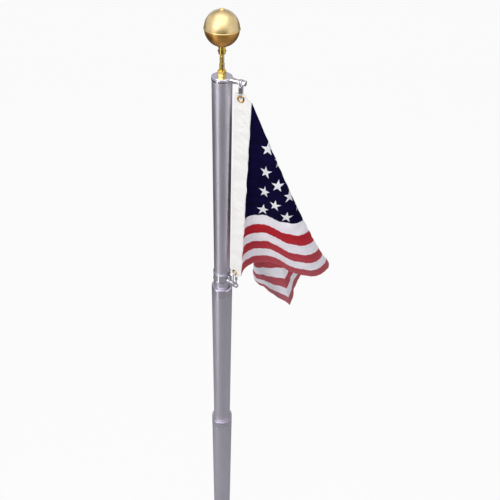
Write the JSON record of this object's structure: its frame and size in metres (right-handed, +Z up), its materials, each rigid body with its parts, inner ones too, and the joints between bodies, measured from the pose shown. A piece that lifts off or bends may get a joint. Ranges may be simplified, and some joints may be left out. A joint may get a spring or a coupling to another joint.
{
  "type": "telescoping flagpole",
  "caption": "Three-section telescoping flagpole with ball finial, two swivel arms on links, and a small flag on a canvas heading.",
  "frame": {"origin": "pole axis at ground level, on the underside of the pole's foot", "axes": "+Z up along the pole; the flag hangs towards +X, and the side seen in the picture faces -Y"},
  "size_m": [0.376, 0.6485, 3.1203],
  "materials": {
    "pole_aluminium": "satin brushed",
    "nylon_guide": "moulded",
    "base_plug": "moulded",
    "set_screws": "blackened",
    "gold_ball": "satin gold",
    "brass_spindle": "polished",
    "bright_steel": "polished casting and wire",
    "brass_grommet": "polished",
    "heading_canvas": "cotton canvas",
    "flag_blue": "woven nylon",
    "flag_red": "woven nylon",
    "flag_white": "woven nylon"
  },
  "bodies": {
    "section_3": {"section_3_tube": "pole_aluminium", "section_3_collar": "pole_aluminium", "base_plug": "base_plug"},
    "section_2": {"section_2_tube": "pole_aluminium", "section_2_collar": "pole_aluminium", "section_2_guide": "nylon_guide"},
    "section_1": {"section_1_tube": "pole_aluminium", "section_1_guide": "nylon_guide", "pole_cap": "pole_aluminium", "hex_nut": "brass_spindle", "spindle": "brass_spindle", "ball_socket": "gold_ball", "set_screws": "set_screws", "ball_lower_half": "gold_ball", "ball_upper_half": "gold_ball", "ball_seam": "gold_ball", "ball_button": "gold_ball"},
    "upper_swivel": {"upper_swivel_arm": "bright_steel", "upper_link": "bright_steel", "upper_link_sleeve": "bright_steel", "flag_heading": "heading_canvas", "upper_grommet": "brass_grommet", "lower_grommet": "brass_grommet", "flag_canton": "flag_blue", "flag_red_stripes": "flag_red", "flag_white_stripes": "flag_white"},
    "lower_swivel": {"lower_swivel_arm": "bright_steel", "lower_link": "bright_steel", "lower_link_sleeve": "bright_steel"}
  },
  "joints": [
    {"name": "section_2_slide", "type": "slide", "parent": "section_3", "child": "section_2", "axis": [0, 0, 1], "range_m": [-0.742, 0.601]},
    {"name": "section_1_slide", "type": "slide", "parent": "section_2", "child": "section_1", "axis": [0, 0, 1], "range_m": [-0.025, 0.703]},
    {"name": "flag_swivel", "type": "hinge", "parent": "section_1", "child": "upper_swivel", "pos_m": [0, 0, 2.9], "axis": [0, 0, 1], "continuous": true},
    {"name": "lower_swivel_turn", "type": "hinge", "parent": "section_1", "child": "lower_swivel", "pos_m": [0, 0, 2.34], "axis": [0, 0, 1], "continuous": true}
  ],
  "couplings": [
    {"joint": "lower_swivel_turn", "follows": "flag_swivel", "ratio": 1}
  ]
}
